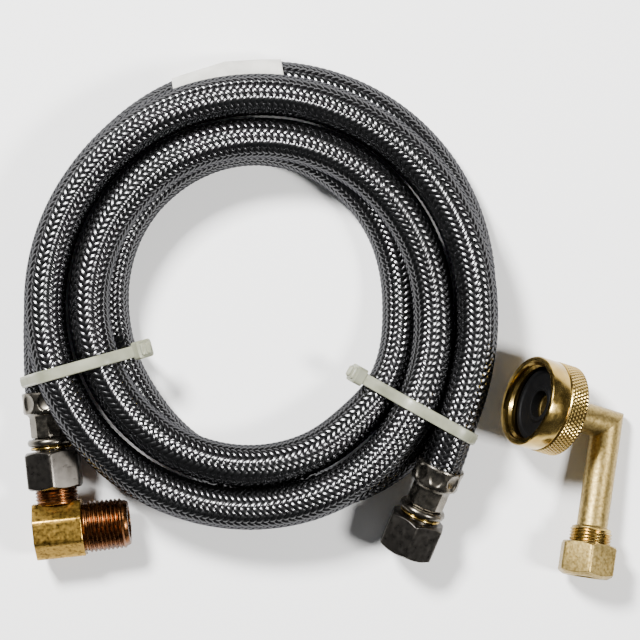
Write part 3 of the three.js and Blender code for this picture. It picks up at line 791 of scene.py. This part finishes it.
def add_hose_nut(arm, polished):
    shape = Shape()
    rear = ARM["rear"]
    mouth = rear + HOSE_NUT["length"]
    split = rear + HOSE_NUT["split"]
    r, bore = HOSE_NUT["r"], HOSE_NUT["bore_r"]
    band = [(x, HOSE_NUT["knurl_r"]) for x in np.arange(rear + 0.7, split - 0.1, 0.22)]
    groove = [(split, r - 0.1), (split + 0.2, r - 0.45), (split + 0.45, r - 0.45), (split + 0.7, r - 0.05)]
    lip = [(split + 1.0, r), (mouth - 0.7, r), (mouth - 0.25, r - 0.12), (mouth, r - 0.45)]
    lip += [(mouth, bore + 0.45), (mouth - 0.35, bore + 0.1)]
    floor, hole = rear + HOSE_NUT["wall"], HOSE_NUT["rear_r"]
    inside = [(mouth - 0.8, bore), (floor, bore), (floor, hole), (rear, hole), (rear, r - 0.9)]
    inside += [(rear + 0.3, r - 0.3)]
    lathe(shape, arm, band + groove + lip + inside, KNURL["ridges"] * 6, knurl, size=0.0)
    helix(shape, arm, rear + 10.1, mouth - 0.6, HOSE_NUT["pitch"], straight(bore), -0.75, steps=72)
    shape.build("hose_nut_detail", "hose_nut", [polished], ["hose_nut"], 32.0)


def add_hose_washer(arm, rubber):
    """A flat washer with a shallow dish between its rims."""
    shape = Shape()
    start, end, r, hole = (HOSE_WASHER[key] for key in ("start", "end", "r", "hole_r"))
    low = end - HOSE_WASHER["dish"]
    dish = [(end, r - 1.4), (low, r - 1.7), (low, hole + 1.7), (end, hole + 1.4)]
    lathe(shape, arm, [(start, hole), (start, r), (end, r), *dish, (end, hole)], size=0.35)
    shape.build("hose_washer_detail", "hose_nut", [rubber], ["hose_washer"])


def add_compression_nut(leg, tumbled):
    shape = Shape()
    end, hole, bore = COMP_NUT["end"], COMP_NUT["end_r"], COMP_NUT["bore_r"]
    wall = end - COMP_NUT["end_wall"]
    inner = [(end, hole + 0.3), (end - 0.4, hole), (wall, hole), (wall, bore), (COMP_NUT["start"], bore)]
    hex_nut(shape, leg, COMP_NUT, inner, 0.2, 1.3)
    shape.build("compression_nut_detail", "compression_nut", [tumbled], ["compression_nut"])


def add_compression_sleeve(leg, polished):
    shape = Shape()
    start, end, taper = COMP_SLEEVE["start"], COMP_SLEEVE["end"], COMP_SLEEVE["taper"]
    r, edge, hole = COMP_SLEEVE["r"], COMP_SLEEVE["edge_r"], COMP_SLEEVE["hole_r"]
    lathe(shape, leg, [(start, hole), (start, edge), (start + taper, r), (end - taper, r), (end, edge),
                       (end, hole)])
    shape.build("compression_sleeve_detail", "sleeve", [polished], ["compression_sleeve"])


# ---------- ties and label ----------
def convex_hull(points):
    ordered = sorted(map(tuple, points))

    def half(chain_points):
        chain = []
        for p in chain_points:
            while len(chain) > 1:
                (ax, ay), (bx, by) = chain[-2], chain[-1]
                if (bx - ax) * (p[1] - ay) - (by - ay) * (p[0] - ax) > 0:
                    break
                chain.pop()
            chain.append(p)
        return chain[:-1]

    return np.array(half(ordered) + half(ordered[::-1]))


def strap_path(circles, corner, offset, spacing):
    """The taut loop round the hose's sections and the head's foot, at even steps."""
    angles = turn(48)
    ring = np.stack([np.cos(angles), np.sin(angles)], axis=1)
    points = [np.array(c) + (HOSE_DIAMETER / MM / 2 + offset) * ring for c in circles]
    points.append(np.array(corner) + offset * ring)
    hull = convex_hull(np.concatenate(points))
    hull = np.vstack([hull, hull[:1]])
    along = np.concatenate([[0.0], np.cumsum(np.linalg.norm(np.diff(hull, axis=0), axis=1))])
    at = np.arange(int(along[-1] / spacing)) * along[-1] / int(along[-1] / spacing)
    return np.stack([np.interp(at, along, hull[:, k]) for k in range(2)], axis=1)


def add_tie(letter, hose, material):
    tie = TIES[letter]
    heading = math.radians(tie["heading"])
    direction = np.array([math.cos(heading), math.sin(heading)])
    side = np.array([-direction[1], direction[0]])
    at = COIL_CENTRE / MM + np.array(tie["at"])
    local = hose.points / MM - np.array([at[0], at[1], 0.0])
    offset, along = local[:, :2] @ side, local[:, :2] @ direction
    hits = np.nonzero((offset[:-1] * offset[1:] <= 0) & (np.abs(along[:-1]) < TIE_REACH))[0]
    circles = [(along[i], local[i, 2]) for i in hits]
    corner = ((COIL_CENTRE / MM - at) @ direction - tie["corner"][0], tie["corner"][1])

    def world(points):
        flat = at + points[..., 0:1] * direction + points[..., 2:3] * side
        return MM * np.concatenate([flat, points[..., 1:2]], axis=-1)

    shape = Shape()
    path = strap_path(circles, corner, TIE["gap"], TIE["step"])
    ahead = np.roll(path, -1, axis=0) - np.roll(path, 1, axis=0)
    outward = np.stack([ahead[:, 1], -ahead[:, 0]], axis=1)
    outward /= np.linalg.norm(outward, axis=1)[:, None]
    half, thick = TIE["width"] / 2, TIE["thickness"]
    tooth = TIE["tooth"] * (np.arange(len(path)) % 2)
    section = [(-half, 0.15, 0), (-half, thick - 0.25, 0), (-half + 0.25, thick, 0), (-1.15, thick, 0),
               (-1.05, thick - 0.12, 1), (1.05, thick - 0.12, 1), (1.15, thick, 0), (half - 0.25, thick, 0),
               (half, thick - 0.25, 0), (half, 0.15, 0), (half - 0.2, 0.0, 0), (-half + 0.2, 0.0, 0)]
    columns = []
    for across, height, toothed in section:
        flat = path + outward * (height + toothed * tooth)[:, None]
        columns.append(np.column_stack([flat, np.full(len(path), across)]))
    shape.grid(world(np.stack(columns, axis=1)), close_rows=True)
    add_tie_head(shape, world, corner, math.radians(tie["turn"]))
    shape.build(f"tie_{letter}_detail", "hose", [material], [f"cable_tie_{letter}"], 40.0)


def add_tie_head(shape, world, corner, lean):
    """The tie's head: a rounded block round the strap, with a raised lip and the cut-off tail."""
    length, height, width = TIE_HEAD["length"], TIE_HEAD["height"], TIE_HEAD["width"]
    up = np.array([math.cos(lean + math.pi / 2), math.sin(lean + math.pi / 2)])
    forward = np.array([math.cos(lean), math.sin(lean)])
    foot = np.array(corner) + up * (TIE["gap"] + 0.15)

    def block(low, high, half_length, half_width, edge):
        levels = [(low, 0.0), (low, 1.0), (low + edge, 1.0), (high - edge, 1.0)]
        levels += [(high, 1.0 - edge / 2), (high, 0.0)]
        angles = turn(40)
        corner_x = np.sign(np.cos(angles)) * np.abs(np.cos(angles)) ** 0.35 * half_length
        corner_y = np.sign(np.sin(angles)) * np.abs(np.sin(angles)) ** 0.35 * half_width
        rows = []
        for level, spread in levels:
            flat = foot + up * level + forward * (corner_x * spread)[:, None]
            rows.append(np.column_stack([flat, corner_y * spread]))
        shape.grid(world(np.stack(rows)), flip=True)

    block(0.0, height - 0.9, length / 2, width / 2, 0.35)
    block(height - 1.2, height, length / 2 - 0.8, width / 2 - 0.9, 0.25)
    block(height - 0.4, height + 1.0, 0.65, TIE["width"] / 2 - 0.2, 0.15)


def add_label(hose, material):
    """Stiff paper round two straight stretches of the hose, its free edge lapped over the start."""
    low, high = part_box("paper_label")
    middle = np.array((low + high) / 2)
    last_turn = len(hose.points) * 3 // 4
    near = last_turn + int(np.argmin(np.linalg.norm(hose.points[last_turn:] - middle, axis=1)))
    reach = int(LABEL["half_length"] * MM / (hose.at[1] - hose.at[0]))
    knots = hose.points[[near - reach, near, near + reach]]
    outward = knots[:, :2] - COIL_CENTRE
    knots[:, :2] += LABEL["outward"] * MM * outward / np.linalg.norm(outward, axis=1)[:, None]
    steps = np.linspace(0.0, 1.0, 61)
    centre = np.stack([np.interp(steps, [0.0, 0.5, 1.0], knots[:, k]) for k in range(3)], axis=1)
    angles = np.linspace(0.0, 2 * math.pi + math.radians(LABEL["lap"]), 90)
    lapped = LABEL["lapped"] * MM * np.clip((angles[None, :] - 5.6) / 0.6, 0.0, 1.0)
    radius = LABEL["radius"] * MM + lapped + LABEL["ripple"] * MM * paper_ripple(angles, steps)
    turned = (angles[None, :] + LABEL["start"])[..., None]
    spoke = np.cos(turned) * hose.normals[near] + np.sin(turned) * hose.sides[near]
    shape = Shape()
    shape.grid(centre[:, None] + radius[..., None] * spoke, close_columns=False, flip=True)
    label = shape.build("label_detail", "hose", [material], ["paper_label"], 50.0)
    solidify = label.modifiers.new("thickness", "SOLIDIFY")
    solidify.thickness = LABEL["thickness"] * MM
    solidify.offset = -1.0


def paper_ripple(angles, steps):
    """Three crossed waves that keep the paper from being a perfect tube."""
    rng = np.random.default_rng(7)
    phases = [rng.uniform(0, 6.28, 3) for _ in range(3)]
    wave = 0.0
    for k, phase in enumerate(phases):
        round_it = np.sin((k + 2) * angles[None, :] + phase[0])
        along_it = np.sin((k + 1.5) * 5 * steps[:, None] + phase[1])
        wave = wave + round_it * along_it
    return wave


# ---------- floor ----------
def add_floor(material):
    steps = np.linspace(-FLOOR_HALF, FLOOR_HALF, FLOOR_LINES)
    points = [(x, y, FLOOR_HEIGHT) for x in steps for y in steps]
    quads = []
    for row in range(FLOOR_LINES - 1):
        for column in range(FLOOR_LINES - 1):
            first = row * FLOOR_LINES + column
            quads.append((first + FLOOR_LINES, first + FLOOR_LINES + 1, first + 1, first))
    mesh = bpy.data.meshes.new("floor")
    mesh.from_pydata(points, [], quads)
    mesh.materials.append(material)
    floor = bpy.data.objects.new("floor", mesh)
    bpy.context.scene.collection.objects.link(floor)


def main():
    add_camera()
    hose = Hose(spacing=HOSE_STEP, tail=HOSE_TAIL)
    core = add_core(hose)
    braid = add_braid(hose, braid_wire())
    ferrule = ferrule_steel()
    plate = nut_plate()
    rubber = washer_rubber()
    brass = elbow_brass()
    copper = thread_brass()
    polished = polished_brass()
    tumbled = tumbled_brass()
    end_a = Place(hose.mouth_a, hose.out_a)
    end_b = Place(hose.mouth_b, hose.out_b)
    for letter, place in (("a", end_a), ("b", end_b)):
        add_ferrule(letter, place, ferrule)
        add_stem(letter, place, ferrule, polished)
        add_swivel_nut(letter, place, plate)
        add_cone_washer(letter, place, rubber)
    add_pipe_elbow(end_a, brass, copper)
    corner = JOINTS["hose_nut_swivel"]["pos_m"]
    arm = Place(corner, JOINTS["hose_nut_swivel"]["axis"])
    leg = Place(corner, JOINTS["compression_nut_turn"]["axis"])
    add_adapter(arm, leg, tumbled, polished)
    add_hose_nut(arm, polished)
    add_hose_washer(arm, rubber)
    add_compression_nut(leg, tumbled)
    add_compression_sleeve(leg, polished)
    nylon = tie_nylon()
    for letter in TIES:
        add_tie(letter, hose, nylon)
    add_label(hose, label_paper())
    add_floor(floor_paint())
    add_lights()


main()
